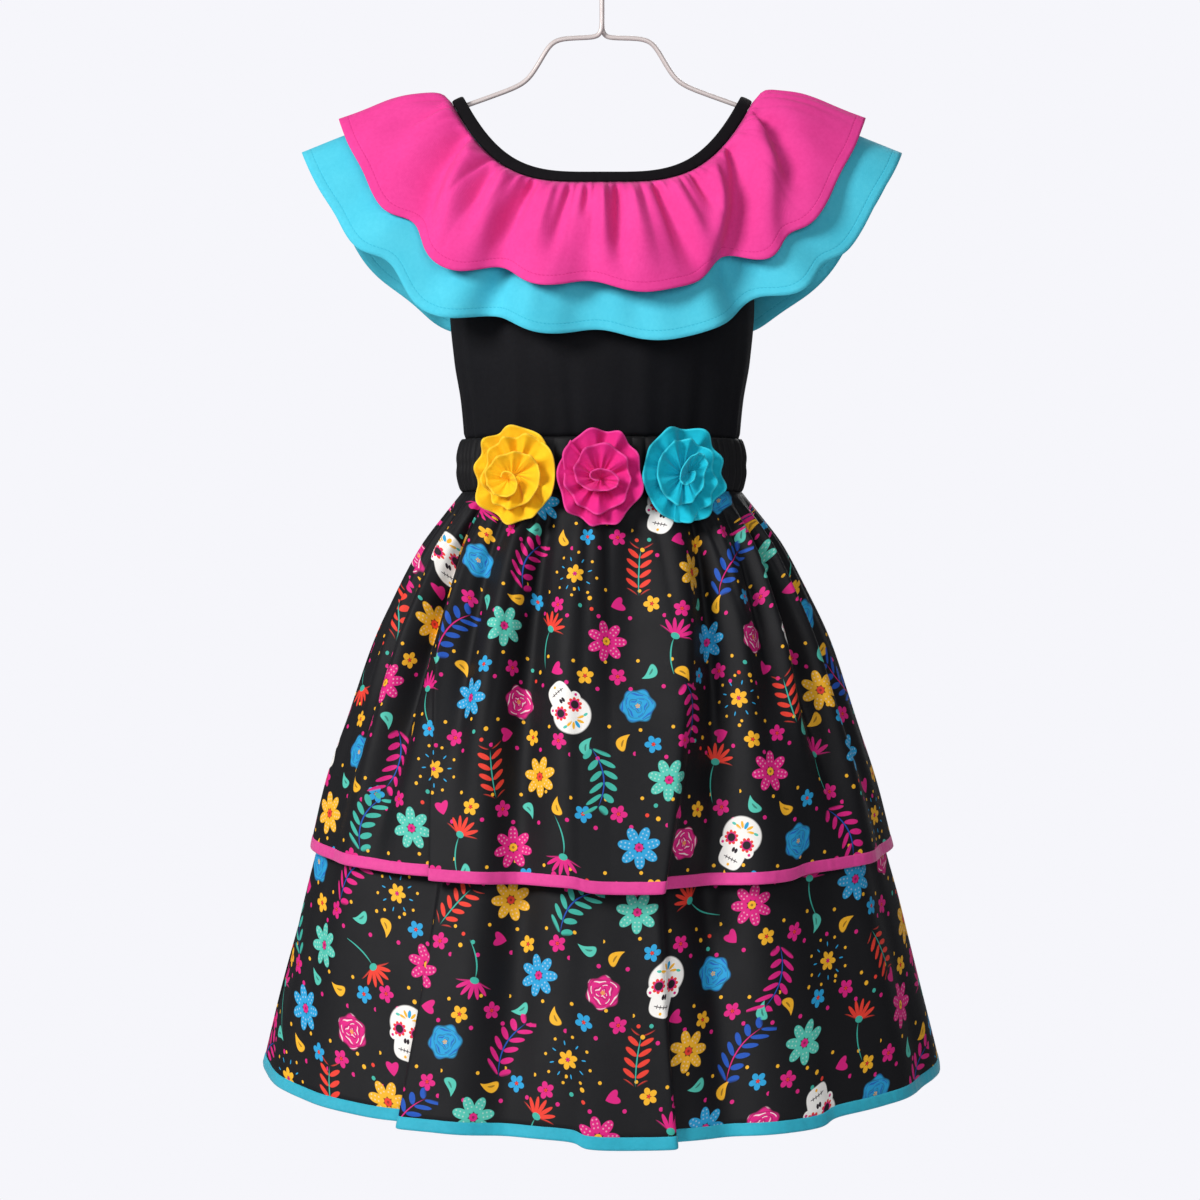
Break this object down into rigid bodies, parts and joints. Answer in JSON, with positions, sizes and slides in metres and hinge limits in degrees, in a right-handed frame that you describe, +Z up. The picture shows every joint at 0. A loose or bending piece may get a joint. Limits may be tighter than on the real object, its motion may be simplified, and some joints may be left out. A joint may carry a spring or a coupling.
{
  "type": "child's tiered fiesta dress on a wire hanger",
  "caption": "Off-shoulder child's dress with gathered shoulder flounces, black bodice, rosettes on the waistband and a tiered printed skirt, hanging on a bent-wire hanger.",
  "frame": {"origin": "inside top of the hanger's hook, where a rail holds it", "axes": "+Z up along the hanger's stem, the dress's front faces -Y, +X runs along the shoulders"},
  "size_m": [0.4406, 0.2546, 0.7962],
  "materials": {
    "coated_wire": "satin, pale beige coating on steel wire",
    "black_cloth": "matt black woven cotton",
    "pink_cloth": "matt woven cloth",
    "aqua_cloth": "matt woven cloth",
    "printed_cloth": "matt woven cloth with a bright skull and flower print on near-black",
    "pink_binding": "folded bias strip",
    "turquoise_binding": "folded bias strip",
    "yellow_cloth": "matt gathered cloth",
    "magenta_cloth": "matt gathered cloth",
    "teal_cloth": "matt gathered cloth"
  },
  "bodies": {
    "root": {"hanger_hook_arm": "coated_wire", "hanger_arm": "coated_wire", "neck_binding": "black_cloth", "bodice_front": "black_cloth", "bodice_back": "black_cloth", "waistband": "black_cloth", "flounce_pink": "pink_cloth", "flounce_aqua": "aqua_cloth", "skirt_upper_front": "printed_cloth", "skirt_upper_back": "printed_cloth", "skirt_lower_front": "printed_cloth", "skirt_lower_back": "printed_cloth", "hem_binding_pink": "pink_binding", "hem_binding_aqua": "turquoise_binding", "rosette_yellow": "yellow_cloth", "rosette_pink": "magenta_cloth", "rosette_teal": "teal_cloth"}
  },
  "joints": []
}
